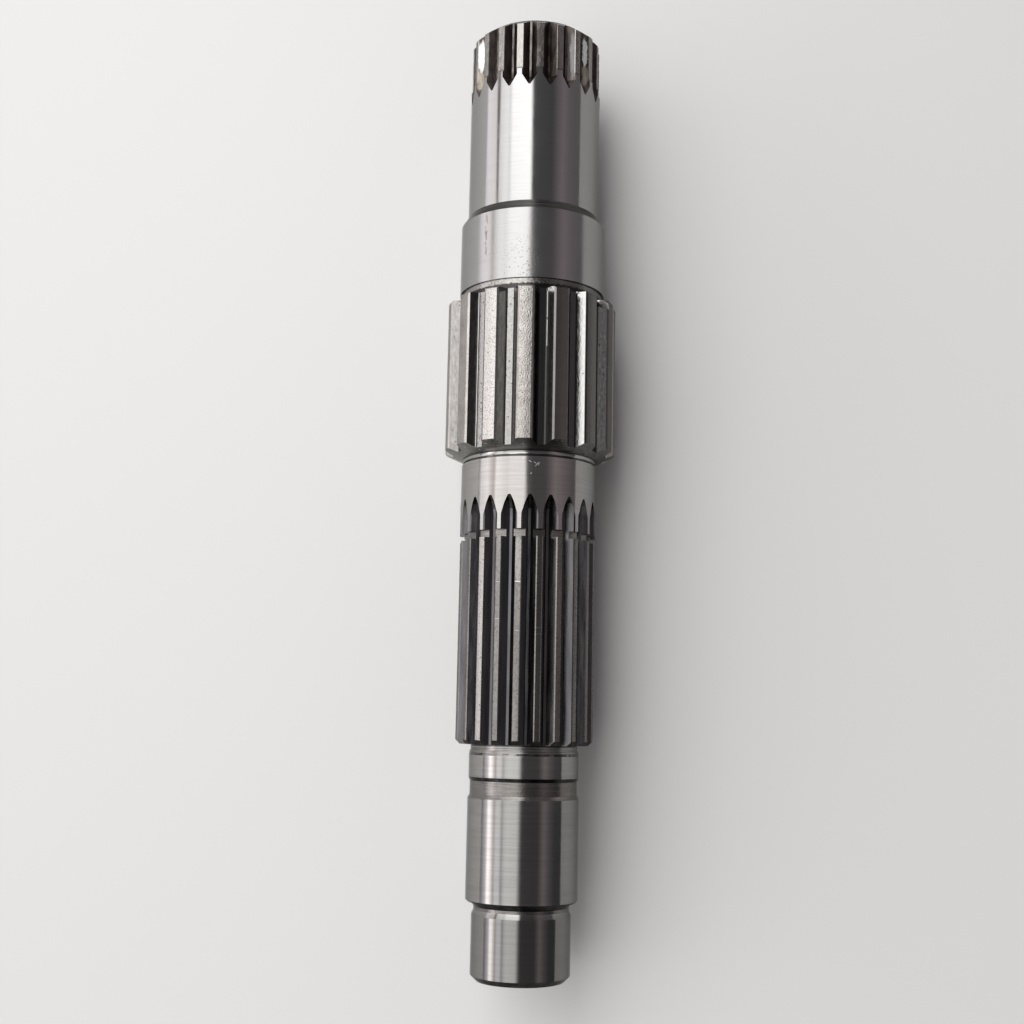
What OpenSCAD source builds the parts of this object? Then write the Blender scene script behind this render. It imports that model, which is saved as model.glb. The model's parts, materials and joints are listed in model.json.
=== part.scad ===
// Countershaft of a small gearbox: one turned, splined and ground steel shaft, lying on its side.
// The axis runs along Y and the sprocket end points to +Y. The origin is on the axis, at the middle
// of the bearing seat. A tooth space of the wide spline faces straight down, so the shaft rests on
// the two teeth beside it. Sizes are in millimetres.

/* [Small end] */
// Diameter of the plain journal at the small end
end_d = 16.3; // [15:0.1:17]
// Length of the end journal
end_l = 10.4; // [6:0.1:16]
// Chamfer round the edge of the small end
end_chamfer = 0.9; // [0.3:0.1:1.5]
// Depth of the relief between the end journal and the gear journal
end_relief = 0.35; // [0.1:0.05:0.6]
// Length of that relief, its taper included
end_relief_l = 2.05; // [1.4:0.05:3]
// Length of the taper from the end journal down into the relief
end_taper_l = 0.8; // [0.3:0.1:1.2]
// Share of the relief past that taper which is coned up to the shoulder of the gear journal
end_corner = 0.6; // [0.2:0.1:0.9]

/* [Gear journal] */
// Diameter of the journal that a free gear turns on
gear_d = 18.4; // [18:0.1:19.5]
// Length of the gear journal
gear_l = 16.5; // [10:0.1:22]
// Broken edge at the small end of the gear journal
gear_break = 0.3; // [0.1:0.05:0.5]
// Depth of the turned groove at its other end
groove_depth = 0.35; // [0.1:0.05:0.7]
// Length of the turned groove, its two tapers included
groove_l = 3.4; // [2.4:0.1:5]
// Length of each taper of the turned groove
groove_taper_l = 0.6; // [0.2:0.1:1]

/* [Collar] */
// Diameter of the ground collar beside the long spline
collar_d = 18.2; // [17.9:0.1:19]
// Length of the collar
collar_l = 3.55; // [2:0.05:6]
// Length of the slight taper at the edge of the collar towards the long spline
collar_taper_l = 0.8; // [0.3:0.1:0.9]
// Diameter of the neck between the collar and the long spline
neck_d = 17.7; // [16.5:0.1:17.8]
// Length of the neck, that taper included
neck_l = 1.75; // [1:0.05:3]

/* [Long spline] */
// Number of teeth
long_teeth = 21; // [16:1:24]
// Outer diameter over the teeth
long_d = 22.9; // [22.4:0.1:24]
// Length from its end face to the circlip groove
long_l = 33.55; // [24:0.05:42]
// Depth of the tooth spaces
long_depth = 1.35; // [0.9:0.05:1.7]
// Width of the top of a tooth, before its edges are broken
long_land = 1; // [0.6:0.05:1.6]
// Width of the floor of a space
long_floor = 0.45; // [0.2:0.05:1]
// Broken edge along the top of each tooth
long_break = 0.1; // [0.04:0.02:0.16]
// Chamfer at the end face of the teeth
long_chamfer = 0.7; // [0.3:0.1:1]
// Turn of the first space from straight down, in degrees
long_turn = 13.8; // [0:0.1:22]
// Distance the spaces run at full depth past the circlip groove
long_runin = 2.2; // [1:0.1:3]
// Radius of the path on which the cutter leaves the shaft
long_path_r = 4.9; // [3.5:0.1:6]

/* [Circlip groove] */
// Width of the circlip groove
clip_w = 1.2; // [0.8:0.05:1.8]
// Depth of the circlip groove
clip_depth = 0.8; // [0.4:0.05:1.2]

/* [Middle journal] */
// Diameter of the journal between the two gear splines
mid_d = 23; // [22.4:0.1:24]
// Length of the middle journal
mid_l = 11.9; // [11:0.1:16]
// Depth of the rounded groove beside the wide spline
ring_depth = 0.25; // [0.1:0.05:0.5]
// Length of the rounded groove
ring_l = 1.05; // [0.6:0.05:2]

/* [Wide spline] */
// Number of teeth
wide_teeth = 15; // [12:1:18]
// Outer diameter over the teeth
wide_d = 29; // [28.6:0.1:31]
// Length of the teeth between their end faces
wide_l = 27; // [20:0.1:34]
// Depth of the tooth spaces
wide_depth = 1.65; // [1:0.05:1.8]
// Width of the top of a tooth, before its edges are broken
wide_land = 2.5; // [1.6:0.05:3.2]
// Width of the floor of a space
wide_floor = 1.35; // [0.6:0.05:1.8]
// Broken edge along the top of each tooth
wide_break = 0.2; // [0.06:0.02:0.3]
// Corner left along each side of the floor of a space
wide_root = 0.15; // [0.05:0.05:0.25]
// Depth of the coned end face beside the middle journal
wide_cone_l = 1.35; // [0.5:0.05:1.6]
// Broken edge at the end face beside the bearing seat
wide_end_break = 0.25; // [0.1:0.05:0.6]

/* [Bearing seat] */
// Diameter of the ground bearing seat
seat_d = 25; // [24.2:0.1:25.2]
// Length of the bearing seat
seat_l = 12.1; // [8:0.1:18]
// Depth of the relief between the bearing seat and the wide spline
relief_depth = 0.3; // [0.1:0.05:0.6]
// Length of that relief
relief_l = 1.95; // [1:0.05:3]
// Length of the taper that leads a bearing onto the seat
lead_l = 1.7; // [0.8:0.1:3]

/* [Plain shank] */
// Diameter of the plain shank
plain_d = 22.8; // [22:0.1:23.6]
// Length from the lead-in taper to the step at the sprocket spline
plain_l = 23.55; // [12:0.05:36]

/* [Sprocket spline] */
// Number of teeth
sprocket_teeth = 20; // [16:1:24]
// Outer diameter over the teeth
sprocket_d = 22.5; // [21.6:0.1:23.4]
// Length from the step to the end face
sprocket_l = 9.6; // [6:0.05:14]
// Depth of the tooth spaces
sprocket_depth = 1.15; // [0.8:0.05:1.6]
// Width of the top of a tooth, before its edges are broken
sprocket_land = 1.1; // [0.6:0.05:1.6]
// Width of the floor of a space
sprocket_floor = 0.35; // [0.2:0.05:1]
// Broken edge along the top of each tooth
sprocket_break = 0.1; // [0.04:0.02:0.16]
// Distance that the coned edge of the end face reaches in from the tops of the teeth
sprocket_cone = 1.85; // [0.4:0.05:2.2]
// Depth of that coned edge along the axis
sprocket_cone_l = 1.4; // [0.4:0.05:2]
// Turn of the first space from straight down, in degrees
sprocket_turn = 16.3; // [0:0.1:22]
// Distance the spaces run at full depth past the step
sprocket_runin = 1; // [0.5:0.1:3]
// Length of the ramp on which each space runs out
sprocket_ramp_l = 1.9; // [1.2:0.1:4]

/* [Lathe centres] */
// Diameter of the centre hole at its mouth
centre_mouth_d = 6.5; // [4:0.1:8]
// Diameter of the pilot hole below it
centre_pilot_d = 2.5; // [1.5:0.1:3.5]
// Depth of the straight pilot hole below the cone
centre_pilot_l = 3; // [1:0.1:6]

/* [Hidden] */
$fn = 96;

// Amount by which a cutter passes the surface that it opens
skin = 0.2;
// Width of a broken tooth edge for each millimetre of its height, on the gear splines and on the sprocket's
gear_flare = 2;
sprocket_flare = 1;
// Share of the rounded groove between its edge on the journal and its deepest place
ring_share = 0.6;
// Half angles of a lathe centre and of the point of its pilot drill
centre_half_angle = 30;
drill_half_angle = 59;
steel_colour = [0.6, 0.6, 0.61];

// Places of the shoulders along the axis, from the small end
z_gear = end_l + end_relief_l;
z_groove = z_gear + gear_l;
z_collar = z_groove + groove_l;
z_neck = z_collar + collar_l;
z_long = z_neck + neck_l;
z_clip = z_long + long_l;
z_mid = z_clip + clip_w;
z_ring = z_mid + mid_l;
z_wide = z_ring + ring_l;
z_relief = z_wide + wide_l;
z_seat = z_relief + relief_l;
z_lead = z_seat + seat_l;
z_plain = z_lead + lead_l;
z_step = z_plain + plain_l;
z_top = z_step + sprocket_l;
z_origin = (z_seat + z_lead) / 2;

// Radii of the floors of the tooth spaces
long_root_r = long_d / 2 - long_depth;
wide_root_r = wide_d / 2 - wide_depth;
sprocket_root_r = sprocket_d / 2 - sprocket_depth;

// Right side of a tooth space from its floor up, as [distance from the middle, height]: a root corner
// if there is one, the flank, and the broken edge, which passes the teeth and a plain part of diameter next_d
function space_side(d, teeth, depth, land, floor_w, next_d, edge, flare, root) =
    let (mouth_x = d / 2 * sin(180 / teeth - asin(land / d)))
    let (mouth_z = depth - d / 2 + sqrt(d * d / 4 - mouth_x * mouth_x))
    let (top_z = depth + max(next_d - d, 0) / 2 + skin)
    let (floor_x = floor_w / 2)
    let (lean = (mouth_x - floor_x) / mouth_z)
    let (edge_x = mouth_x - edge * lean)
    concat(
        root > 0 ? [[floor_x - root, 0], [floor_x + root * lean, root]] : [[floor_x, 0]],
        [[edge_x, mouth_z - edge], [edge_x + flare * (top_z - mouth_z + edge), top_z]]
    );

long_side = space_side(long_d, long_teeth, long_depth, long_land, long_floor, mid_d,
    long_break, gear_flare, 0);
wide_side = space_side(wide_d, wide_teeth, wide_depth, wide_land, wide_floor, seat_d,
    wide_break, gear_flare, wide_root);
sprocket_side = space_side(sprocket_d, sprocket_teeth, sprocket_depth, sprocket_land, sprocket_floor, plain_d,
    sprocket_break, sprocket_flare, 0);

// Cross-section of a tooth space, standing on the middle of its floor
module space_section(side) {
    last = len(side) - 1;
    polygon(concat(side, [for (i = [last:-1:0]) [-side[i][0], side[i][1]]]));
}

// Straight part of a tooth space from z0 to z1
module straight_cut(root_r, z0, z1, side) {
    translate([0, root_r, z0])
        linear_extrude(z1 - z0)
            space_section(side);
}

// Run-out of a space where the cutter swings out of the shaft on an arc
module swung_runout(root_r, z0, path_r, side) {
    translate([0, root_r + path_r, z0])
        rotate([0, 90, 0])
            rotate([0, 0, 180])
                rotate_extrude(angle = 90)
                    translate([path_r, 0])
                        rotate(90)
                            space_section(side);
}

// Space that runs straight from z0 to z1 and climbs out of the shaft on a ramp below z0:
// the straight cut, kept inside a groove of the same flanks that slopes through its floor at z0
module ramped_cut(root_r, z0, z1, climb, ramp_l, side) {
    ramp = atan(climb / ramp_l);
    floor_x = side[0][0];
    lean = (side[1][0] - floor_x) / side[1][1] / cos(ramp);
    reach = z1 - z0 + climb;
    mouth_x = floor_x + lean * reach;
    intersection() {
        straight_cut(root_r, z0 - 2 * ramp_l, z1, side);
        translate([0, root_r, z0])
            rotate([ramp, 0, 0])
                translate([0, 0, -reach])
                    linear_extrude(2 * reach)
                        polygon([[-floor_x, 0], [floor_x, 0], [mouth_x, reach], [-mouth_x, reach]]);
    }
}

// Repeats a cutter round the axis
module round_axis(teeth, turn) {
    for (k = [0:teeth - 1])
        rotate([0, 0, turn + k * 360 / teeth])
            children();
}

// Spaces of the long spline, open at the neck and swung out into the middle journal
module long_spaces() {
    z_full = z_mid + long_runin;
    round_axis(long_teeth, long_turn) {
        straight_cut(long_root_r, z_long - neck_l / 2, z_full, long_side);
        swung_runout(long_root_r, z_full, long_path_r, long_side);
    }
}

// Spaces of the wide spline, open at both ends
module wide_spaces() {
    round_axis(wide_teeth, 0)
        straight_cut(wide_root_r, z_wide - ring_l / 2, z_relief + relief_l / 2, wide_side);
}

// Spaces of the sprocket spline, open at the end face and ramped out into the plain shank
module sprocket_spaces() {
    climb = plain_d / 2 - sprocket_root_r;
    z_full = z_step - sprocket_runin;
    round_axis(sprocket_teeth, sprocket_turn)
        ramped_cut(sprocket_root_r, z_full, z_top + skin, climb, sprocket_ramp_l, sprocket_side);
}

// Rounded groove round the end of the middle journal, cut off at the coned end of the wide spline
module ring_groove() {
    half_l = ring_share * ring_l;
    round_r = (half_l * half_l + ring_depth * ring_depth) / (2 * ring_depth);
    intersection() {
        translate([0, 0, z_ring + half_l])
            rotate_extrude()
                translate([mid_d / 2 - ring_depth + round_r, 0])
                    circle(round_r);
        translate([0, 0, z_ring - skin])
            cylinder(r = mid_d / 2 + skin, h = ring_l + skin);
    }
}

// Lathe centre hole, drilled upwards from z = 0
module centre_hole() {
    mouth_r = centre_mouth_d / 2;
    pilot_r = centre_pilot_d / 2;
    cone_l = (mouth_r - pilot_r) / tan(centre_half_angle);
    pilot_z = cone_l + centre_pilot_l;
    rotate_extrude()
        polygon([
            [0, -skin],
            [mouth_r + skin * tan(centre_half_angle), -skin],
            [pilot_r, cone_l],
            [pilot_r, pilot_z],
            [0, pilot_z + pilot_r / tan(drill_half_angle)]
        ]);
}

// Half section of the turned shaft as [radius, height], from the small end to the sprocket end
module turned_section() {
    end_r = end_d / 2;
    relief_r = end_r - end_relief;
    gear_r = gear_d / 2;
    collar_r = collar_d / 2;
    neck_r = neck_d / 2;
    long_r = long_d / 2;
    mid_r = mid_d / 2;
    wide_r = wide_d / 2;
    seat_r = seat_d / 2;
    plain_r = plain_d / 2;
    sprocket_r = sprocket_d / 2;
    polygon([
        [0, 0],
        [end_r - end_chamfer, 0],
        [end_r, end_chamfer],
        [end_r, end_l],
        [relief_r, end_l + end_taper_l],
        [relief_r, z_gear - end_corner * (end_relief_l - end_taper_l)],
        [(relief_r + gear_r - gear_break) / 2, z_gear],
        [gear_r - gear_break, z_gear],
        [gear_r, z_gear + gear_break],
        [gear_r, z_groove],
        [gear_r - groove_depth, z_groove + groove_taper_l],
        [gear_r - groove_depth, z_collar - groove_taper_l],
        [collar_r, z_collar],
        [collar_r, z_neck],
        [(collar_r + neck_r) / 2, z_neck + collar_taper_l],
        [neck_r, z_neck + collar_taper_l],
        [neck_r, z_long],
        [long_r - long_chamfer, z_long],
        [long_r, z_long + long_chamfer],
        [long_r, z_clip],
        [long_r - clip_depth, z_clip],
        [long_r - clip_depth, z_mid],
        [mid_r, z_mid],
        [mid_r, z_wide],
        [wide_r, z_wide + wide_cone_l],
        [wide_r, z_relief - wide_end_break],
        [wide_r - wide_end_break, z_relief],
        [seat_r - relief_depth, z_relief],
        [seat_r - relief_depth, z_seat],
        [seat_r, z_seat],
        [seat_r, z_lead],
        [plain_r, z_plain],
        [plain_r, z_step],
        [sprocket_r, z_step],
        [sprocket_r, z_top - sprocket_cone_l],
        [sprocket_r - sprocket_cone, z_top],
        [0, z_top]
    ]);
}

// The shaft, built upright and laid along Y
module shaft() {
    color(steel_colour)
        rotate([-90, 0, 0])
            translate([0, 0, -z_origin])
                difference() {
                    rotate_extrude()
                        turned_section();
                    ring_groove();
                    long_spaces();
                    wide_spaces();
                    sprocket_spaces();
                    centre_hole();
                    translate([0, 0, z_top])
                        mirror([0, 0, 1])
                            centre_hole();
                }
}

shaft();
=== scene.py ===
import json
import math

import bpy
from mathutils import Matrix, Vector


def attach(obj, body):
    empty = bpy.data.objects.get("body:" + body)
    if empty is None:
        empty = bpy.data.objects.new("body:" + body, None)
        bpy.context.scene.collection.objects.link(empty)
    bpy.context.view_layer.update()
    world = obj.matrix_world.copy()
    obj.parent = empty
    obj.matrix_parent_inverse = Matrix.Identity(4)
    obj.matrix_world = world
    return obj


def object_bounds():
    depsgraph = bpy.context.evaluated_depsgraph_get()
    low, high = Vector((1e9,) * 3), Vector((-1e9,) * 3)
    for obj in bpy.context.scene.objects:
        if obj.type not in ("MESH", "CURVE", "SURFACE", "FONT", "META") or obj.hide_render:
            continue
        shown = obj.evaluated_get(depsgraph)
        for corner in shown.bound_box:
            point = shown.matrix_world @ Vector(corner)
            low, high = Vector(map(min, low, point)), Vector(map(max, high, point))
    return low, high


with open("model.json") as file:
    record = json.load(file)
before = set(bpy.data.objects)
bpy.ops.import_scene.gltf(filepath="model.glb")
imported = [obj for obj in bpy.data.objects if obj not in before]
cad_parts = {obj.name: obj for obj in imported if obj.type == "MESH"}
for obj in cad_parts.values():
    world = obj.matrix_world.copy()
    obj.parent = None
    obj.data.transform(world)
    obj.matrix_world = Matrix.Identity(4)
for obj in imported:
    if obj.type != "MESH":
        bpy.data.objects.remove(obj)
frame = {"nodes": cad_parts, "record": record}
cad_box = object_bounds()

MM = 0.001
shaft = frame["nodes"]["shaft"]
mounts = {m["name"]: m for m in frame["record"]["mounts"]}


def span(name):
    """Lowest and highest y of a mount's wall."""
    middle = mounts[name]["pos_m"][1]
    half = mounts[name]["dims"]["length_mm"] * MM / 2
    return middle - half, middle + half


def radius(name):
    return mounts[name]["dims"]["r_mm"] * MM


# Radius of the ground collar beside the long spline, and the end of its taper
COLLAR_RADIUS = 9.1 * MM
NECK_END = -84.45 * MM
# Relief beside the gear journal: its end, the end of its corner, and the start of its taper
RELIEF_END = -107.9 * MM
RELIEF_CORNER = -108.65 * MM
RELIEF_TAPER = -109.1 * MM

# Camera: the fitted place and turn of the photo's own
SENSOR_WIDTH = 36.0
LENS = 49.31
CAMERA_HEIGHT = 0.2363
CAMERA_LEAN = math.radians(3.83)
CAMERA_Y = -0.07932
CAMERA_TILT = (-0.1499, -0.0115, -0.0182)

# Marks on the surface are placed as (degrees from straight up, positive to +X; mm along y)
# Stretches of y over which the ground finish turns from dull to bright, from fine to brushed lines, and darker
# on the end journal
SHINE_FADE = (-91.0, -78.0)
BRUSHED_FADE = (-20.0, -30.0)
END_FADE = (-109.0, -110.0)
# Distance from the middle of the bearing seat at which its own roughness ends
SEAT_FADE = (6.2, 6.0)
# Pitted patch on top of the bearing seat, with its half widths
SEAT_PITS = (-3.0, -2.9)
SEAT_PITS_SIZE = (20.0, 4.4)
# Brown specks in a line along the bearing seat
SEAT_STAIN = (-35.5, 2.0)
SEAT_STAIN_SIZE = (2.0, 4.5)
# Handling scratches on the middle journal as (degrees, mm, half length, half width, tilt in degrees)
SCRATCHES = (
    (10.2, -37.4, 0.62, 0.06, 56.0),
    (8.6, -37.1, 0.28, 0.05, -40.0),
    (11.9, -37.3, 0.40, 0.045, 66.0),
    (-1.0, -36.4, 0.35, 0.05, 20.0),
    (4.6, -36.9, 0.30, 0.05, -28.0),
    (5.6, -38.9, 0.16, 0.05, 30.0),
)
# Thin nicks across the lands of the long spline as (degrees, mm, strength)
NICKS = (
    (-3.6, -56.6, 1.0),
    (-3.6, -64.5, 0.3),
    (-20.7, -56.6, 0.25),
    (-21.0, -62.6, 0.35),
    (13.9, -64.0, 0.5),
    (13.9, -65.0, 0.4),
)
NICK_SIZE = (3.0, 0.08)
# Patches that the sprocket has polished on the flanks of its spline, as (degrees, mm, half width in degrees,
# half length in mm, brightness, slope that the wear has given it)
SPROCKET_WEAR = (
    (-59.6, 36.4, 2.4, 3.3, 0.50, 0.0),
    (39.0, 34.6, 2.0, 4.8, 0.10, 0.0),
    (55.9, 36.5, 2.2, 3.0, 0.12, 0.22),
)
# Distance of those flanks from the axis, and the depth of their bump, in mm
SPROCKET_FLANK = 10.9
SPROCKET_BUMP = 0.03
# Tan residue below those patches
SPROCKET_RESIDUE = ((-60.0, 31.9), (56.0, 32.2))
SPROCKET_RESIDUE_SIZE = (2.6, 2.2)
# Lands of the long spline that are paler, as (degrees, mm, half width in degrees, half length in mm, strength): a
# pale patch near the top, and painted reflection along the whole lands at -37.6 and 31 degrees
PALE_AND_PAINTED_SHEEN_LANDS = ((-3.4, -52.9, 4.0, 3.6, 0.45), (-37.6, -66.0, 5.5, 60.0, 1.0), (31.0, -66.0, 5.0, 60.0, 0.15))
# Degrees over which painted shade sets in towards the right on the lands, flanks and floors of the wide spline, and
# on the relief above it
LAND_PAINTED_SHADE = (10.0, 18.0)
COAST_PAINTED_SHADE = (-52.0, -46.0)
FLOOR_PAINTED_SHADE = (0.0, 6.0)
RELIEF_PAINTED_SHADE = (5.0, 25.0)
# Degrees over which the wear on the land left of the top begins and ends
LAND_WEAR_START = (-34.0, -30.0)
LAND_WEAR_END = (-12.0, -16.0)
# Distance from the axis at which the corner beside a floor of the wide spline turns from painted shade to a painted
# highlight, in mm
ROOT_SHADE_EDGE = 12.955
# Degrees over which that painted highlight line sets in, to the left
ROOT_HIGHLIGHT_LEFT = (2.0, -2.0)
# Stretches of that corner in the space right of the top that carry the painted highlight, as (degrees, mm), with
# their half sizes
ROOT_HIGHLIGHT = ((14.7, -10.75), (14.7, -15.6))
ROOT_HIGHLIGHT_SIZE = (5.0, 2.4)
# Chipped edge of the collar beside the long spline, from and to, and how soft it is, in mm
COLLAR_CHIPS = (-84.40, -84.10)
CHIPS_SOFT = 0.04
# Stretches of y, in mm, over which painted shade darkens the neck under the long teeth, the relief where the wide
# teeth begin, the lands of the sprocket spline where they meet the shank, and its run-outs
NECK_PAINTED_SHADE = (-83.05, -82.85)
RELIEF_EDGE_SHADE = (-6.85, -7.05)
SPROCKET_STEP_SHADE = (31.75, 31.45)
SPROCKET_RUNOUT_SHADE = (31.6, 30.6)


class Tree:
    """Short calls for building one node tree."""

    def __init__(self, tree):
        self.tree = tree
        self.tree.nodes.clear()

    def node(self, kind, **settings):
        made = self.tree.nodes.new(kind)
        for name, value in settings.items():
            setattr(made, name, value)
        return made

    def put(self, socket, value):
        """Links a socket to another, or sets it to a constant."""
        if isinstance(value, bpy.types.NodeSocket):
            self.tree.links.new(value, socket)
        else:
            socket.default_value = value

    def math(self, operation, *values):
        made = self.node("ShaderNodeMath", operation=operation)
        for socket, value in zip(made.inputs, values):
            self.put(socket, value)
        return made.outputs[0]

    def noise(self, vector, scale, detail=2.0, roughness=0.5, distortion=0.0):
        made = self.node("ShaderNodeTexNoise")
        self.put(made.inputs["Vector"], vector)
        self.put(made.inputs["Scale"], scale)
        self.put(made.inputs["Detail"], detail)
        self.put(made.inputs["Roughness"], roughness)
        self.put(made.inputs["Distortion"], distortion)
        return made.outputs["Fac"]

    def stretch(self, vector, scale):
        made = self.node("ShaderNodeVectorMath", operation="MULTIPLY")
        self.put(made.inputs[0], vector)
        made.inputs[1].default_value = scale
        return made.outputs[0]

    def remap(self, value, low, high, to_low=0.0, to_high=1.0):
        made = self.node("ShaderNodeMapRange", clamp=True)
        for socket, number in zip(made.inputs, (value, low, high, to_low, to_high)):
            self.put(socket, number)
        return made.outputs[0]

    def mix(self, amount, first, second):
        made = self.node("ShaderNodeMix", data_type="RGBA")
        self.put(made.inputs[0], amount)
        self.put(made.inputs[6], first)
        self.put(made.inputs[7], second)
        return made.outputs[2]

    def blend(self, amount, first, second):
        """Mix of two numbers."""
        made = self.node("ShaderNodeMix", data_type="FLOAT")
        self.put(made.inputs[0], amount)
        self.put(made.inputs[2], first)
        self.put(made.inputs[3], second)
        return made.outputs[0]

    def ramp(self, amount, stops):
        made = self.node("ShaderNodeValToRGB")
        ramp = made.color_ramp
        while len(ramp.elements) < len(stops):
            ramp.elements.new(1.0)
        for element, (place, colour) in zip(ramp.elements, stops):
            element.position = place
            element.color = colour
        self.put(made.inputs[0], amount)
        return made.outputs[0]

    def bump(self, height, strength, distance):
        made = self.node("ShaderNodeBump")
        made.inputs["Strength"].default_value = strength
        made.inputs["Distance"].default_value = distance
        self.put(made.inputs["Height"], height)
        return made.outputs[0]

    def split(self, vector):
        made = self.node("ShaderNodeSeparateXYZ")
        self.put(made.inputs[0], vector)
        return made.outputs

    def polar(self, place):
        """Angle round the axis in degrees from straight up, and place along it in mm."""
        x, y, z = self.split(place)
        angle = self.math("MULTIPLY", self.math("ARCTAN2", x, z), math.degrees(1))
        return angle, self.math("DIVIDE", y, MM)

    def reach(self, place):
        """Distance from the axis in mm."""
        made = self.node("ShaderNodeVectorMath", operation="LENGTH")
        self.put(made.inputs[0], self.stretch(place, (1 / MM, 0, 1 / MM)))
        return made.outputs["Value"]

    def spot(self, pair, at, size, soft=0.5):
        """Mask of an ellipse round a place of two coordinates."""
        parts = []
        for value, middle, half in zip(pair, at, size):
            off = self.math("DIVIDE", self.math("SUBTRACT", value, middle), half)
            parts.append(self.math("MULTIPLY", off, off))
        return self.remap(self.math("ADD", *parts), 1.0, 1.0 - soft)

    def stroke(self, polar, mark, r):
        """Mask of a thin tilted scratch on a cylinder of radius r mm."""
        angle, along, half_length, half_width, tilt = mark
        across = self.math("MULTIPLY", self.math("SUBTRACT", polar[0], angle), math.radians(r))
        up = self.math("SUBTRACT", polar[1], along)
        c, s = math.cos(math.radians(tilt)), math.sin(math.radians(tilt))
        u = self.math("ADD", self.math("MULTIPLY", across, c), self.math("MULTIPLY", up, s))
        v = self.math("SUBTRACT", self.math("MULTIPLY", up, c), self.math("MULTIPLY", across, s))
        return self.spot((u, v), (0.0, 0.0), (half_length, half_width), 0.8)

    def specks(self, vector, scale, size, share):
        """Mask of small round pits: how large they are in their cells, and how many cells have one."""
        made = self.node("ShaderNodeTexVoronoi")
        self.put(made.inputs["Vector"], vector)
        self.put(made.inputs["Scale"], scale)
        pick = self.math("GREATER_THAN", self.split(made.outputs["Color"])[0], 1 - share)
        return self.math("MULTIPLY", self.remap(made.outputs["Distance"], size, size * 0.5), pick)

    def either(self, *masks):
        """The strongest of several masks."""
        total = masks[0]
        for mask in masks[1:]:
            total = self.math("MAXIMUM", total, mask)
        return total

    def both(self, first, second):
        return self.math("MULTIPLY", first, second)


def grey(level, warmth=0.0):
    """A grey as linear colour; warmth moves it from blue towards brown."""
    return (level * (1 + warmth), level, level * (1 - warmth), 1.0)


# Share of the reflection that is left at a glancing angle on this worn, oily steel
GLANCING = (0.6, 0.6, 0.6, 1.0)


def steel(name, paint):
    """A metal material; paint(tree, place) returns its colour, roughness and normal."""
    material = bpy.data.materials.new(name)
    material.use_nodes = True
    tree = Tree(material.node_tree)
    place = tree.node("ShaderNodeTexCoord").outputs["Object"]
    colour, roughness, normal = paint(tree, place)
    shader = tree.node("ShaderNodeBsdfPrincipled")
    shader.inputs["Metallic"].default_value = 1.0
    shader.inputs["Specular Tint"].default_value = GLANCING
    tree.put(shader.inputs["Base Color"], colour)
    tree.put(shader.inputs["Roughness"], roughness)
    tree.put(shader.inputs["Normal"], normal)
    output = tree.node("ShaderNodeOutputMaterial")
    tree.put(output.inputs["Surface"], shader.outputs[0])
    return material


def ground_finish(tree, place):
    """Cylindrical grinding: fine lines round the axis, duller towards the small end."""
    polar = tree.polar(place)
    lines = tree.noise(tree.stretch(place, (160, 9000, 160)), 1.0, 3.0, 0.6)
    bands = tree.noise(tree.stretch(place, (90, 2300, 90)), 1.0, 3.0, 0.65)
    patches = tree.noise(place, 260, 3.0, 0.6)
    grain = tree.noise(place, 2600, 2.0, 0.6)
    bright = tree.mix(tree.remap(lines, 0.3, 0.7), grey(0.325, 0.02), grey(0.355, 0.0))
    brushed = tree.mix(tree.remap(bands, 0.35, 0.65), grey(0.312, 0.035), grey(0.355, 0.015))
    bright = tree.mix(tree.remap(polar[1], *BRUSHED_FADE), bright, brushed)
    dull = tree.mix(tree.remap(bands, 0.3, 0.7), grey(0.235, 0.03), grey(0.285, 0.02))
    colour = tree.mix(tree.remap(polar[1], *SHINE_FADE), dull, bright)
    colour = tree.mix(tree.remap(polar[1], *END_FADE, 0.0, 0.5), colour, grey(0.16, 0.03))
    pitted = tree.both(
        tree.spot(polar, SEAT_PITS, SEAT_PITS_SIZE, 0.9),
        tree.either(
            tree.both(tree.specks(place, 3400, 0.42, 0.3), 0.6),
            tree.both(tree.specks(place, 1700, 0.27, 0.25), 0.8),
        ),
    )
    stained = tree.both(
        tree.spot(polar, SEAT_STAIN, SEAT_STAIN_SIZE, 0.8),
        tree.remap(tree.noise(tree.stretch(place, (1500, 650, 1500)), 1.0, 3.0, 0.65), 0.48, 0.62, 0.0, 0.85),
    )
    stray = tree.both(tree.specks(place, 800, 0.07, 0.12), 0.6)
    colour = tree.mix(tree.either(pitted, stray), colour, grey(0.06, 0.1))
    colour = tree.mix(stained, colour, (0.16, 0.11, 0.09, 1.0))
    journal = radius("mid_journal") / MM
    scratched = tree.either(*(tree.stroke(polar, mark, journal) for mark in SCRATCHES))
    colour = tree.mix(scratched, colour, grey(0.8))
    seat = tree.remap(tree.math("ABSOLUTE", polar[1]), *SEAT_FADE)
    smooth = tree.remap(patches, 0.3, 0.7, 0.08, 0.13)
    roughness = tree.blend(seat, smooth, tree.remap(patches, 0.3, 0.7, 0.15, 0.20))
    roughness = tree.blend(tree.either(pitted, stained, scratched), roughness, 0.42)
    height = tree.math("ADD", tree.math("MULTIPLY", lines, 0.7), tree.both(grain, tree.blend(seat, 0.5, 1.1)))
    height = tree.math("SUBTRACT", height, tree.math("MULTIPLY", tree.either(pitted, scratched), 2.0))
    return colour, roughness, tree.bump(height, 0.2, 0.02 * MM)


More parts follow.
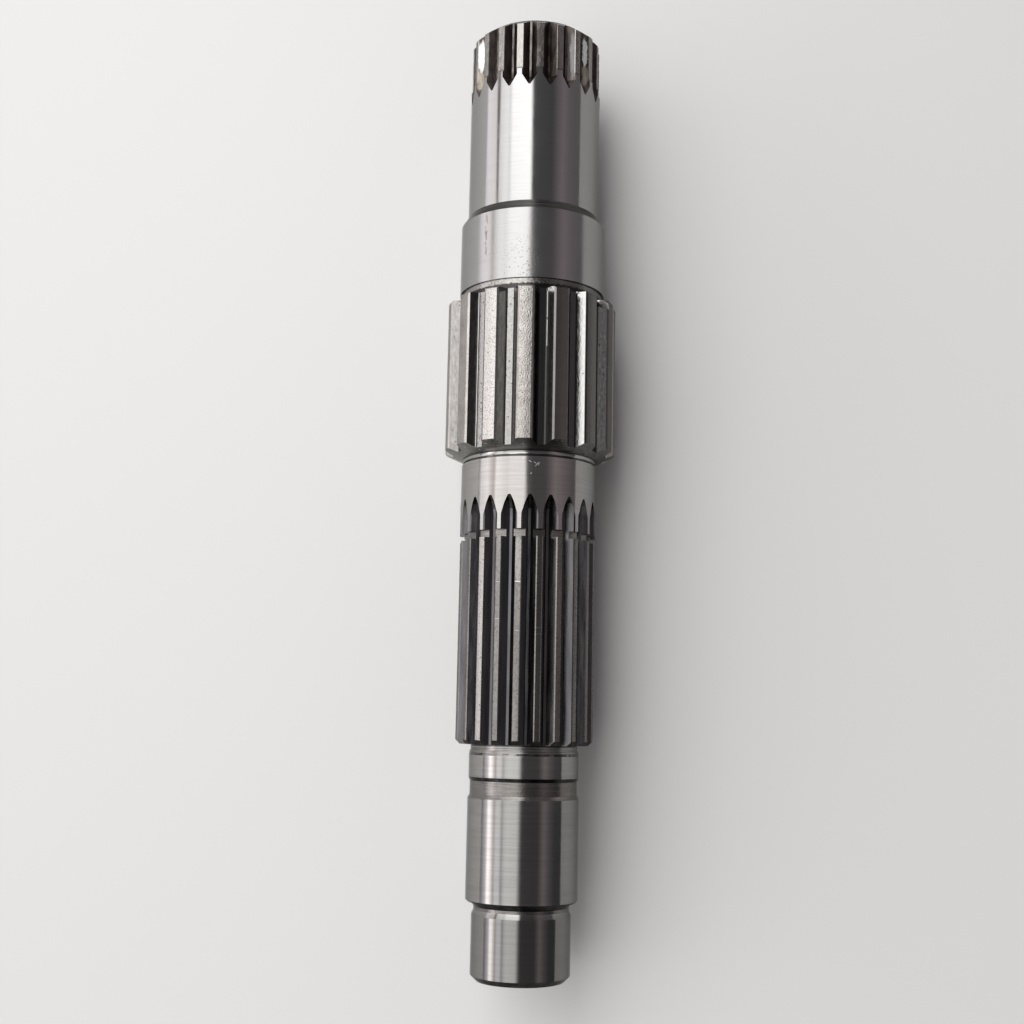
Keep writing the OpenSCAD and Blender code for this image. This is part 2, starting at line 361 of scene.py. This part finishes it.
def wide_land_finish(tree, place):
    """Tops of the broad teeth: dimpled like orange peel by heat treatment, with painted shade towards the right."""
    turn = tree.polar(place)[0]
    dimples = tree.noise(place, 4000, 2.0, 0.55, 0.3)
    patches = tree.noise(place, 420, 3.0, 0.6)
    painted_shade = tree.remap(turn, *LAND_PAINTED_SHADE, 0.0, 0.8)
    worn = tree.both(tree.remap(turn, *LAND_WEAR_START), tree.remap(turn, *LAND_WEAR_END))
    colour = tree.mix(tree.remap(patches, 0.35, 0.65), grey(0.29, 0.06), grey(0.36, 0.04))
    colour = tree.mix(worn, colour, grey(0.43, 0.03))
    colour = tree.mix(tree.remap(dimples, 0.52, 0.66, 0.0, 0.5), colour, grey(0.17, 0.07))
    colour = tree.mix(painted_shade, colour, grey(0.11, 0.02))
    colour = tree.mix(tree.specks(place, 1300, 0.2, 0.12), colour, grey(0.07, 0.08))
    roughness = tree.remap(patches, 0.3, 0.7, 0.13, 0.20)
    height = tree.both(dimples, tree.remap(painted_shade, 0.0, 1.0, 1.0, 0.35))
    return colour, roughness, tree.bump(height, 1.0, 0.04 * MM)


def wide_drive_finish(tree, place):
    """Flanks that drive the gear, polished bright."""
    drag = tree.noise(tree.stretch(place, (2600, 1500, 2600)), 1.0, 3.0, 0.6)
    colour = tree.mix(tree.remap(drag, 0.3, 0.7), grey(0.38, 0.03), grey(0.48, 0.01))
    colour = tree.mix(tree.specks(place, 1500, 0.25, 0.14), colour, grey(0.05, 0.08))
    roughness = tree.remap(drag, 0.3, 0.7, 0.13, 0.2)
    return colour, roughness, tree.bump(drag, 0.6, 0.04 * MM)


def wide_coast_finish(tree, place):
    """Flanks on the other side of the teeth, with painted shade from the top to the right."""
    turn = tree.polar(place)[0]
    drag = tree.noise(tree.stretch(place, (1900, 700, 1900)), 1.0, 3.0, 0.6)
    clean = tree.mix(tree.remap(drag, 0.3, 0.7), grey(0.17, 0.04), grey(0.27, 0.03))
    painted_shade = tree.mix(tree.remap(drag, 0.3, 0.7), grey(0.08, 0.03), grey(0.15, 0.02))
    colour = tree.mix(tree.remap(turn, *COAST_PAINTED_SHADE), clean, painted_shade)
    colour = tree.mix(tree.specks(place, 1500, 0.22, 0.12), colour, grey(0.05, 0.08))
    roughness = tree.remap(drag, 0.3, 0.7, 0.12, 0.18)
    return colour, roughness, tree.bump(drag, 0.25, 0.03 * MM)


def wide_root_finish(tree, place):
    """Corners beside the floors: painted shade below, a painted highlight along the foot of the flank."""
    polar = tree.polar(place)
    drag = tree.noise(tree.stretch(place, (1900, 260, 1900)), 1.0, 3.0, 0.6)
    line = tree.math("ADD", tree.reach(place), tree.remap(drag, 0.3, 0.7, -0.02, 0.02))
    wear_shine_and_painted_highlight = tree.either(
        tree.remap(polar[0], *ROOT_HIGHLIGHT_LEFT),
        *(tree.spot(polar, at, ROOT_HIGHLIGHT_SIZE, 0.2) for at in ROOT_HIGHLIGHT),
    )
    wear_shine_and_painted_highlight = tree.both(tree.remap(line, ROOT_SHADE_EDGE - 0.01, ROOT_SHADE_EDGE + 0.02), wear_shine_and_painted_highlight)
    colour = tree.mix(wear_shine_and_painted_highlight, grey(0.045, 0.02), grey(0.30, 0.02))
    roughness = tree.remap(drag, 0.3, 0.7, 0.12, 0.2)
    return colour, roughness, tree.bump(drag, 0.3, 0.02 * MM)


def wide_floor_finish(tree, place):
    """Floors between the broad teeth, with painted shade right of the top."""
    turn = tree.polar(place)[0]
    dimples = tree.noise(place, 3300, 2.5, 0.6, 0.8)
    colour = tree.mix(tree.remap(dimples, 0.35, 0.65), grey(0.22, 0.03), grey(0.30, 0.01))
    colour = tree.mix(tree.remap(turn, *FLOOR_PAINTED_SHADE, 0.0, 0.75), colour, grey(0.07, -0.02))
    colour = tree.mix(tree.specks(place, 1900, 0.32, 0.16), colour, grey(0.05, 0.08))
    roughness = tree.remap(dimples, 0.3, 0.7, 0.12, 0.18)
    return colour, roughness, tree.bump(dimples, 0.6, 0.03 * MM)


def long_land_finish(tree, place):
    """Tops of the narrow teeth: dull brown-grey, with a few nicks across them."""
    polar = tree.polar(place)
    dimples = tree.noise(tree.stretch(place, (2600, 1500, 2600)), 1.0, 3.0, 0.6)
    drag = tree.noise(tree.stretch(place, (700, 60, 700)), 1.0, 3.0, 0.6)
    colour = tree.mix(tree.remap(drag, 0.3, 0.7), grey(0.14, 0.05), grey(0.21, 0.035))
    colour = tree.mix(tree.both(tree.remap(dimples, 0.5, 0.75), 0.5), colour, grey(0.09, 0.07))
    # A pale patch near the top, and painted reflection along whole lands
    for turn, along, half_turn, half_length, strength in PALE_AND_PAINTED_SHEEN_LANDS:
        pale_and_painted_sheen = tree.both(tree.spot(polar, (turn, along), (half_turn, half_length), 0.1), strength)
        colour = tree.mix(pale_and_painted_sheen, colour, grey(0.33, 0.04))
    colour = tree.mix(tree.both(tree.specks(place, 2600, 0.4, 0.4), 0.55), colour, grey(0.07, 0.06))
    nicked = tree.either(*(
        tree.both(tree.spot(polar, (turn, along), NICK_SIZE, 0.6), strength) for turn, along, strength in NICKS
    ))
    colour = tree.mix(nicked, colour, grey(0.6, 0.02))
    roughness = tree.blend(nicked, tree.remap(dimples, 0.3, 0.7, 0.2, 0.32), 0.2)
    return colour, roughness, tree.bump(dimples, 0.5, 0.04 * MM)


def long_flank_finish(tree, place):
    """Flanks and floors of the long spline, near-black: oil, and painted shade of the narrow spaces."""
    drag = tree.noise(tree.stretch(place, (1400, 120, 1400)), 1.0, 3.0, 0.6)
    colour = tree.mix(tree.remap(drag, 0.3, 0.7), (0.066, 0.064, 0.069, 1.0), (0.125, 0.121, 0.127, 1.0))
    roughness = tree.remap(drag, 0.3, 0.7, 0.2, 0.34)
    return colour, roughness, tree.bump(drag, 0.3, 0.03 * MM)


def sprocket_land_finish(tree, place):
    """Tops of the sprocket's teeth, with a line of painted shade where they meet the shank."""
    along = tree.polar(place)[1]
    dimples = tree.noise(tree.stretch(place, (2200, 900, 2200)), 1.0, 3.0, 0.6)
    colour = tree.mix(tree.remap(dimples, 0.35, 0.65), grey(0.23, 0.07), grey(0.31, 0.05))
    colour = tree.mix(tree.both(tree.remap(along, *SPROCKET_STEP_SHADE), 0.75), colour, grey(0.06, 0.05))
    roughness = tree.remap(dimples, 0.3, 0.7, 0.2, 0.3)
    return colour, roughness, tree.bump(dimples, 0.4, 0.04 * MM)


def sprocket_flank_finish(tree, place):
    """Flanks of the sprocket's teeth: dark brown, with patches polished by the sprocket."""
    polar = tree.polar(place)
    drag = tree.noise(tree.stretch(place, (1700, 420, 1700)), 1.0, 3.0, 0.6)
    ragged = tree.noise(tree.stretch(place, (420, 900, 420)), 1.0, 3.0, 0.6)
    wobble = tree.math("ADD", tree.remap(drag, 0.3, 0.7, -0.6, 0.6), tree.remap(ragged, 0.3, 0.7, -0.5, 0.5))
    near = (tree.math("ADD", polar[0], wobble), polar[1])
    patches = [(tree.spot(near, mark[:2], mark[2:4], 0.45), mark) for mark in SPROCKET_WEAR]
    residue = tree.either(*(tree.spot(near, at, SPROCKET_RESIDUE_SIZE, 0.5) for at in SPROCKET_RESIDUE))
    brown = tree.mix(tree.remap(drag, 0.3, 0.7), (0.040, 0.033, 0.030, 1.0), (0.090, 0.074, 0.067, 1.0))
    tan = tree.mix(tree.remap(drag, 0.3, 0.7), (0.13, 0.115, 0.093, 1.0), (0.27, 0.24, 0.20, 1.0))
    colour = tree.mix(residue, brown, tan)
    height = drag
    for patch, mark in patches:
        turn, wear_shine_and_painted_highlight, slope = mark[0], mark[4], mark[5]
        colour = tree.mix(patch, colour, tree.mix(tree.remap(drag, 0.3, 0.7), grey(0.7 * wear_shine_and_painted_highlight), grey(1.2 * wear_shine_and_painted_highlight)))
        steepness = math.radians(SPROCKET_FLANK) * slope / SPROCKET_BUMP
        across = tree.math("MULTIPLY", tree.math("SUBTRACT", polar[0], turn), steepness)
        height = tree.math("ADD", height, tree.both(patch, across))
    worn = tree.either(*(patch for patch, _ in patches))
    roughness = tree.blend(worn, tree.remap(drag, 0.3, 0.7, 0.28, 0.4), tree.remap(drag, 0.3, 0.7, 0.14, 0.26))
    return colour, roughness, tree.bump(height, 1.0, SPROCKET_BUMP * MM)


def sprocket_floor_finish(tree, place):
    """Narrow floors and run-outs between the sprocket's teeth, with painted shade in the run-outs."""
    along = tree.polar(place)[1]
    drag = tree.noise(tree.stretch(place, (1500, 500, 1500)), 1.0, 3.0, 0.6)
    colour = tree.mix(tree.remap(drag, 0.35, 0.65), grey(0.05, 0.1), grey(0.17, 0.08))
    colour = tree.mix(tree.remap(along, *SPROCKET_RUNOUT_SHADE), colour, (0.05, 0.042, 0.038, 1.0))
    roughness = tree.remap(drag, 0.3, 0.7, 0.2, 0.34)
    return colour, roughness, tree.bump(drag, 0.4, 0.03 * MM)


def turned_finish(tree, place):
    """Grooves with the marks of the turning tool."""
    marks = tree.noise(tree.stretch(place, (220, 6200, 220)), 1.0, 2.0, 0.5, 0.4)
    crumbs = tree.noise(place, 3000, 3.0, 0.7)
    colour = tree.mix(tree.remap(marks, 0.35, 0.65), grey(0.15, 0.05), grey(0.21, 0.04))
    colour = tree.mix(tree.both(tree.remap(crumbs, 0.55, 0.7), 0.6), colour, grey(0.09, 0.06))
    roughness = tree.remap(marks, 0.3, 0.7, 0.17, 0.26)
    height = tree.math("ADD", tree.math("MULTIPLY", marks, 0.5), crumbs)
    return colour, roughness, tree.bump(height, 0.5, 0.035 * MM)


def crumbled_finish(tree, place):
    """Relief beside the bearing seat: turned, then crumbled by shot, with painted shade towards the right and where
    the teeth begin.
    """
    turn, along = tree.polar(place)
    crumbs = tree.noise(place, 2300, 3.0, 0.65, 0.5)
    colour = tree.mix(tree.remap(crumbs, 0.35, 0.65), grey(0.24, 0.05), grey(0.35, 0.03))
    colour = tree.mix(tree.specks(place, 2000, 0.3, 0.2), colour, grey(0.06, 0.08))
    edge = tree.math("ADD", along, tree.remap(crumbs, 0.3, 0.7, -0.15, 0.15))
    colour = tree.mix(tree.remap(turn, *RELIEF_PAINTED_SHADE, 0.0, 0.6), colour, grey(0.08, 0.03))
    colour = tree.mix(tree.remap(edge, *RELIEF_EDGE_SHADE), colour, grey(0.045, 0.03))
    roughness = tree.remap(crumbs, 0.3, 0.7, 0.14, 0.22)
    return colour, roughness, tree.bump(crumbs, 0.7, 0.05 * MM)


def neck_finish(tree, place):
    """Neck and taper beside the long spline: turned, with painted shade under the teeth, with a chipped edge at the
    collar.
    """
    along = tree.polar(place)[1]
    marks = tree.noise(tree.stretch(place, (120, 6200, 120)), 1.0, 2.0, 0.5, 0.3)
    chips = tree.noise(tree.stretch(place, (520, 900, 520)), 1.0, 3.0, 0.6)
    colour = tree.mix(tree.remap(marks, 0.35, 0.65), grey(0.13, 0.04), grey(0.26, 0.03))
    colour = tree.mix(tree.remap(along, *NECK_PAINTED_SHADE), colour, grey(0.04, 0.02))
    low, high = COLLAR_CHIPS
    edge = tree.both(tree.remap(along, low - CHIPS_SOFT, low), tree.remap(along, high + CHIPS_SOFT, high))
    colour = tree.mix(tree.both(edge, tree.remap(chips, 0.42, 0.54, 0.0, 0.85)), colour, grey(0.03, 0.04))
    roughness = tree.remap(marks, 0.3, 0.7, 0.15, 0.24)
    return colour, roughness, tree.bump(marks, 0.4, 0.03 * MM)


def dark_turned_finish(tree, place):
    """Tapers and grooves painted dark as shade."""
    marks = tree.noise(tree.stretch(place, (90, 4200, 90)), 1.0, 2.0, 0.5)
    colour = tree.mix(tree.remap(marks, 0.35, 0.65), grey(0.042, 0.04), grey(0.10, 0.03))
    roughness = tree.remap(marks, 0.3, 0.7, 0.18, 0.28)
    return colour, roughness, tree.bump(marks, 0.5, 0.03 * MM)


def clip_finish(tree, place):
    """Circlip groove, cut with a sharp tool."""
    marks = tree.noise(tree.stretch(place, (160, 5200, 160)), 1.0, 2.0, 0.5)
    colour = tree.mix(tree.remap(marks, 0.35, 0.65), grey(0.14, 0.05), grey(0.22, 0.04))
    roughness = tree.remap(marks, 0.3, 0.7, 0.18, 0.28)
    return colour, roughness, tree.bump(marks, 0.5, 0.03 * MM)


def chamfer_finish(tree, place):
    """Chamfers and corners that face the small end, painted near-black as shade."""
    film = tree.noise(place, 900, 3.0, 0.6)
    colour = tree.mix(tree.remap(film, 0.35, 0.65), grey(0.022, 0.03), grey(0.045, 0.03))
    roughness = tree.remap(film, 0.3, 0.7, 0.2, 0.3)
    return colour, roughness, tree.bump(film, 0.3, 0.03 * MM)


def face_finish(tree, place):
    """Faced shoulders and ends: rings of the turning tool, with a little dried oil."""
    film = tree.noise(place, 420, 4.0, 0.65)
    rings = tree.node("ShaderNodeTexNoise", noise_dimensions="1D")
    tree.put(rings.inputs["W"], tree.reach(place))
    rings.inputs["Scale"].default_value = 7.0
    rings.inputs["Detail"].default_value = 2.0
    rings = rings.outputs["Fac"]
    colour = tree.mix(tree.remap(rings, 0.3, 0.7), grey(0.20, 0.03), grey(0.30, 0.02))
    colour = tree.mix(tree.remap(film, 0.48, 0.66, 0.0, 0.7), colour, (0.145, 0.15, 0.13, 1.0))
    colour = tree.mix(tree.specks(place, 800, 0.2, 0.12), colour, grey(0.5, 0.02))
    roughness = tree.remap(film, 0.3, 0.7, 0.17, 0.28)
    return colour, roughness, tree.bump(rings, 0.5, 0.03 * MM)


def burr_finish(tree, place):
    """Bare metal of the small burrs."""
    dents = tree.noise(place, 3200, 2.0, 0.5)
    colour = tree.mix(tree.remap(dents, 0.35, 0.65), grey(0.45, 0.03), grey(0.62, 0.02))
    roughness = tree.remap(dents, 0.3, 0.7, 0.3, 0.45)
    return colour, roughness, tree.bump(dents, 0.6, 0.05 * MM)


# Each zone of the surface with its finish
FINISHES = {
    "ground": ground_finish,
    "wide_land": wide_land_finish,
    "wide_drive": wide_drive_finish,
    "wide_coast": wide_coast_finish,
    "wide_root": wide_root_finish,
    "wide_floor": wide_floor_finish,
    "long_land": long_land_finish,
    "long_flank": long_flank_finish,
    "sprocket_land": sprocket_land_finish,
    "sprocket_flank": sprocket_flank_finish,
    "sprocket_floor": sprocket_floor_finish,
    "turned": turned_finish,
    "crumbled": crumbled_finish,
    "neck": neck_finish,
    "dark_turned": dark_turned_finish,
    "clip": clip_finish,
    "chamfer": chamfer_finish,
    "face": face_finish,
}
# For each spline: its mount, the journal its spaces run out in, and the zones of land, flank and floor
SPLINES = (
    ("sprocket_spline", "collar_shank", ("sprocket_land", "sprocket_flank", "sprocket_floor")),
    ("wide_spline", None, ("wide_land", "wide_coast", "wide_floor")),
    ("long_spline", "mid_journal", ("long_land", "long_flank", "long_flank")),
)

# Share of a face's normal along y from which on it counts as an end face, and as a chamfer
FACE_TILT = 0.88
CHAMFER_TILT = 0.3
# Share of a normal that points away from the axis: above it, floors and cylinders, floors of run-outs, root corners
OUTWARD = 0.97
RUNOUT_OUTWARD = 0.9
ROOT_OUTWARD = 0.75
# Depths below the tips of the teeth: lands end, root corners of the wide spline begin, the sprocket's cone ends
LAND_DEPTH = 0.30 * MM
ROOT_DEPTH = 1.4 * MM
CONE_DEPTH = 0.7 * MM
# How far a face may lie from the radius of its journal, and from the circlip groove
RADIUS_SLACK = 0.15 * MM
GROOVE_SLACK = 0.1 * MM


def zone_of(centre, normal):
    """The zone that a face of the shaft belongs to."""
    r = math.hypot(centre.x, centre.z)
    outward = (normal.x * centre.x + normal.z * centre.z) / max(r, 1e-9)
    groove = span("circlip_groove")
    # Upper wall of the circlip groove takes the chamfer finish, painted near-black as shade
    if normal.y < -FACE_TILT and groove[0] < centre.y < groove[1] + GROOVE_SLACK:
        return "chamfer"
    if abs(normal.y) > FACE_TILT:
        return "face"
    if centre.y > span("sprocket_spline")[1]:
        return "sprocket_land" if r > radius("sprocket_spline") - CONE_DEPTH else "chamfer"
    if normal.y < -CHAMFER_TILT:
        return "chamfer"
    for name, journal, (land, flank, floor) in SPLINES:
        low, high = span(name)
        if low <= centre.y <= high:
            if r > radius(name) - LAND_DEPTH:
                return land
            if name == "wide_spline" and r < radius(name) - ROOT_DEPTH and ROOT_OUTWARD < outward < OUTWARD:
                return "wide_root"
            if name == "wide_spline" and outward <= OUTWARD and normal.x * centre.z < normal.z * centre.x:
                return "wide_drive"
            return floor if outward > OUTWARD else flank
        if journal:
            low, high = span(journal)
            if low <= centre.y <= high and (outward < OUTWARD or r < radius(journal) - RADIUS_SLACK):
                return floor if outward > RUNOUT_OUTWARD else flank
    # Taper between the bearing seat and the shank: the dark finish of painted shade
    if span("bearing_seat")[1] < centre.y < span("collar_shank")[0]:
        return "dark_turned"
    if span("wide_spline")[1] < centre.y < span("bearing_seat")[0]:
        return "crumbled"
    if groove[0] <= centre.y <= groove[1]:
        return "clip"
    if NECK_END < centre.y < span("long_spline")[0]:
        return "neck"
    if outward > OUTWARD:
        for name in ("bearing_seat", "collar_shank", "mid_journal", "gear_journal", "end_journal"):
            low, high = span(name)
            if low <= centre.y <= high and abs(r - radius(name)) < RADIUS_SLACK:
                return "ground"
        if span("gear_journal")[1] < centre.y < span("long_spline")[0] and r > COLLAR_RADIUS - RADIUS_SLACK:
            return "ground"
    if span("mid_journal")[1] < centre.y < span("wide_spline")[0]:
        return "ground"
    # Corner of the relief beside the gear journal: the dark finish of painted shade
    if RELIEF_CORNER < centre.y < RELIEF_END:
        return "dark_turned"
    if span("end_journal")[1] < centre.y < RELIEF_TAPER:
        return "ground"
    return "turned"


def dress_shaft():
    """Gives each face of the shaft the finish of its zone."""
    shaft.data.materials.clear()
    for name, paint in FINISHES.items():
        shaft.data.materials.append(steel(name + "_steel", paint))
    order = list(FINISHES)
    for face in shaft.data.polygons:
        face.material_index = order.index(zone_of(face.center, face.normal))


# Burrs at the end of the wide spline, each a bent lump through points of
# (degrees, mm along y, mm from the axis, mm thick)
BURRS = {
    "burr_hook": (
        (44.2, -9.5, 14.05, 0.10),
        (43.9, -8.9, 14.15, 0.24),
        (42.9, -8.45, 13.95, 0.26),
        (41.6, -8.25, 13.55, 0.20),
        (40.2, -8.15, 13.20, 0.12),
        (38.7, -8.12, 13.00, 0.20),
        (38.0, -8.25, 12.90, 0.08),
    ),
    "burr_lump": (
        (59.8, -8.45, 12.95, 0.20),
        (61.8, -8.60, 13.35, 0.46),
        (64.0, -8.75, 13.80, 0.58),
        (66.2, -9.00, 14.15, 0.50),
        (67.8, -9.35, 14.30, 0.30),
        (68.6, -9.70, 14.40, 0.10),
    ),
    "burr_bump": (
        (16.4, -8.10, 13.10, 0.12),
        (17.2, -8.08, 13.35, 0.24),
        (18.2, -8.10, 13.75, 0.26),
        (18.9, -8.30, 14.10, 0.12),
    ),
}
# Corners round a burr, and how far each is pushed in or out
BURR_CORNERS = (1.0, 0.8, 1.15, 0.9, 1.1, 0.75, 1.0, 0.85)


def on_shaft(turn, along, r):
    a = math.radians(turn)
    return Vector((r * math.sin(a), along, r * math.cos(a))) * MM


def make_burrs():
    """Small lumps of metal pushed up at the ends of three teeth."""
    material = steel("burr_steel", burr_finish)
    for name, points in BURRS.items():
        centres = [on_shaft(*point[:3]) for point in points]
        corners, faces = [], []
        count = len(BURR_CORNERS)
        for i, (centre, point) in enumerate(zip(centres, points)):
            ahead = (centres[min(i + 1, len(points) - 1)] - centres[max(i - 1, 0)]).normalized()
            across = ahead.cross(Vector((0, 1, 0))).normalized()
            up = across.cross(ahead)
            for k in range(count):
                a = 2 * math.pi * k / count
                push = BURR_CORNERS[(k + 3 * i) % count] * point[3] * MM
                corners.append(centre + (across * math.cos(a) + up * math.sin(a)) * push)
        for i in range(len(points) - 1):
            for k in range(count):
                a, b = i * count + k, i * count + (k + 1) % count
                faces.append((a, b, b + count, a + count))
        faces.append(tuple(range(count - 1, -1, -1)))
        faces.append(tuple(range(len(corners) - count, len(corners))))
        mesh = bpy.data.meshes.new(name)
        mesh.from_pydata(corners, [], faces)
        mesh.materials.append(material)
        mesh.polygons.foreach_set("use_smooth", [True] * len(mesh.polygons))
        piece = bpy.data.objects.new(name, mesh)
        bpy.context.scene.collection.objects.link(piece)
        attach(piece, "root")


def make_camera():
    data = bpy.data.cameras.new("camera")
    data.lens = LENS
    data.sensor_width = SENSOR_WIDTH
    camera = bpy.data.objects.new("camera", data)
    bpy.context.scene.collection.objects.link(camera)
    tilt_x, tilt_y, tilt_z = CAMERA_TILT
    to_camera = (
        Matrix.Rotation(tilt_z, 3, "Z")
        @ Matrix.Rotation(tilt_y, 3, "Y")
        @ Matrix.Rotation(tilt_x, 3, "X")
    )
    lean = Matrix.Rotation(CAMERA_LEAN, 3, "Y")
    place = lean @ Vector((0.0, CAMERA_Y, CAMERA_HEIGHT))
    camera.matrix_world = Matrix.Translation(place) @ (lean @ to_camera.transposed()).to_4x4()
    bpy.context.scene.camera = camera


# Plain pale floor under the shaft: half its width, and its finish
FLOOR_HALF = 3.0
FLOOR_COLOUR = (0.76, 0.76, 0.75, 1.0)
FLOOR_METALLIC = 0.15
FLOOR_ROUGHNESS = 0.5


def make_floor():
    half = FLOOR_HALF
    low = cad_box[0].z
    mesh = bpy.data.meshes.new("floor")
    corners = [(-half, -half, low), (half, -half, low), (half, half, low), (-half, half, low)]
    mesh.from_pydata(corners, [], [(0, 1, 2, 3)])
    floor = bpy.data.objects.new("floor", mesh)
    bpy.context.scene.collection.objects.link(floor)
    material = bpy.data.materials.new("pale_floor")
    material.use_nodes = True
    shader = material.node_tree.nodes["Principled BSDF"]
    shader.inputs["Base Color"].default_value = FLOOR_COLOUR
    shader.inputs["Metallic"].default_value = FLOOR_METALLIC
    shader.inputs["Roughness"].default_value = FLOOR_ROUGHNESS
    mesh.materials.append(material)


# Light of the room by its angle round the shaft's axis, in degrees from straight up, positive to +X:
# a low window on the left, a pale ceiling, and a dark room from just right of straight up.
# FAR is the part of the room behind the sprocket end, MIDDLE the part above, NEAR the part behind the small end.
FAR_SKY = (
    (-180, (0.80, 0.80, 0.80, 1.0)),
    (-92.5, (0.84, 0.82, 0.82, 1.0)),
    (-90, (2.05, 2.00, 2.10, 1.0)),
    (-66.5, (1.80, 1.68, 1.64, 1.0)),
    (-65.3, (0.12, 0.10, 0.09, 1.0)),
    (-62, (0.12, 0.10, 0.09, 1.0)),
    (-60.5, (2.00, 1.97, 1.95, 1.0)),
    (-45, (2.30, 2.30, 2.30, 1.0)),
    (-40, (1.90, 1.90, 1.90, 1.0)),
    (-36, (2.90, 2.90, 2.90, 1.0)),
    (-2.4, (3.10, 3.10, 3.10, 1.0)),
    (1.6, (0.15, 0.15, 0.15, 1.0)),
    (36, (0.12, 0.117, 0.12, 1.0)),
    (54, (0.35, 0.30, 0.32, 1.0)),
    (68, (0.25, 0.22, 0.235, 1.0)),
    (93, (0.21, 0.20, 0.21, 1.0)),
    (180, (0.50, 0.50, 0.50, 1.0)),
)
MIDDLE_SKY = (
    (-180, (0.65, 0.65, 0.65, 1.0)),
    (-87.5, (0.72, 0.69, 0.69, 1.0)),
    (-84, (1.85, 1.80, 1.85, 1.0)),
    (-70, (2.28, 2.18, 2.16, 1.0)),
    (-60, (1.40, 1.30, 1.28, 1.0)),
    (-56, (1.15, 1.05, 1.03, 1.0)),
    (-52, (2.40, 2.35, 2.32, 1.0)),
    (-33, (1.85, 1.82, 1.77, 1.0)),
    (-27, (2.10, 2.05, 2.00, 1.0)),
    (-3.6, (2.05, 2.00, 1.95, 1.0)),
    (0.5, (0.25, 0.24, 0.24, 1.0)),
    (12, (0.135, 0.13, 0.135, 1.0)),
    (32, (0.155, 0.14, 0.145, 1.0)),
    (50, (0.42, 0.35, 0.36, 1.0)),
    (66, (0.30, 0.255, 0.265, 1.0)),
    (84, (0.19, 0.17, 0.175, 1.0)),
    (180, (0.40, 0.40, 0.40, 1.0)),
)
NEAR_SKY = (
    (-180, (0.55, 0.55, 0.55, 1.0)),
    (-91, (0.50, 0.48, 0.50, 1.0)),
    (-86, (0.60, 0.58, 0.62, 1.0)),
    (-80, (1.20, 1.16, 1.26, 1.0)),
    (-75.5, (1.65, 1.60, 1.70, 1.0)),
    (-71, (3.90, 3.80, 3.78, 1.0)),
    (-67, (3.80, 3.62, 3.60, 1.0)),
    (-57, (1.10, 1.02, 1.03, 1.0)),
    (-52, (1.82, 1.80, 1.82, 1.0)),
    (-43, (1.80, 1.80, 1.80, 1.0)),
    (-40.5, (0.95, 0.95, 0.95, 1.0)),
    (-37.5, (0.95, 0.95, 0.95, 1.0)),
    (-35, (1.50, 1.50, 1.49, 1.0)),
    (-28, (1.74, 1.76, 1.72, 1.0)),
    (-7.5, (1.60, 1.62, 1.58, 1.0)),
    (-0.5, (0.30, 0.29, 0.30, 1.0)),
    (3, (0.125, 0.115, 0.12, 1.0)),
    (36, (0.115, 0.105, 0.11, 1.0)),
    (48, (0.37, 0.32, 0.33, 1.0)),
    (60, (0.20, 0.18, 0.19, 1.0)),
    (72, (0.10, 0.10, 0.105, 1.0)),
    (92, (0.09, 0.09, 0.09, 1.0)),
    (180, (0.40, 0.40, 0.40, 1.0)),
)

# Share of a direction along y over which NEAR turns to MIDDLE, and MIDDLE to FAR
NEAR_TO_MIDDLE = (-0.08, 0.14)
MIDDLE_TO_FAR = (0.18, 0.41)
# The same share over which the room dims behind the small end, and its strength at both ends of that stretch
DIM_STRETCH = (-0.75, -0.2)
DIM_STRENGTH = (0.4, 1.0)
# Plain backdrop that the camera sees above the floor
BACKDROP = grey(0.72)


def make_world():
    world = bpy.data.worlds.new("studio")
    bpy.context.scene.world = world
    world.use_nodes = True
    tree = Tree(world.node_tree)
    x, y, z = tree.split(tree.node("ShaderNodeTexCoord").outputs["Generated"])
    place = tree.remap(tree.math("ARCTAN2", x, z), -math.pi, math.pi)
    near, middle, far = (
        tree.ramp(place, [((angle + 180) / 360, colour) for angle, colour in sky])
        for sky in (NEAR_SKY, MIDDLE_SKY, FAR_SKY)
    )
    sky = tree.mix(tree.remap(y, *NEAR_TO_MIDDLE), near, middle)
    sky = tree.mix(tree.remap(y, *MIDDLE_TO_FAR), sky, far)
    seen = tree.node("ShaderNodeLightPath").outputs["Is Camera Ray"]
    background = tree.node("ShaderNodeBackground")
    tree.put(background.inputs["Color"], tree.mix(seen, sky, BACKDROP))
    dim = tree.remap(y, *DIM_STRETCH, *DIM_STRENGTH)
    tree.put(background.inputs["Strength"], tree.either(seen, dim))
    output = tree.node("ShaderNodeOutputWorld")
    tree.put(output.inputs["Surface"], background.outputs[0])


bpy.context.scene.view_settings.view_transform = "Standard"
dress_shaft()
make_burrs()
make_camera()
make_floor()
make_world()
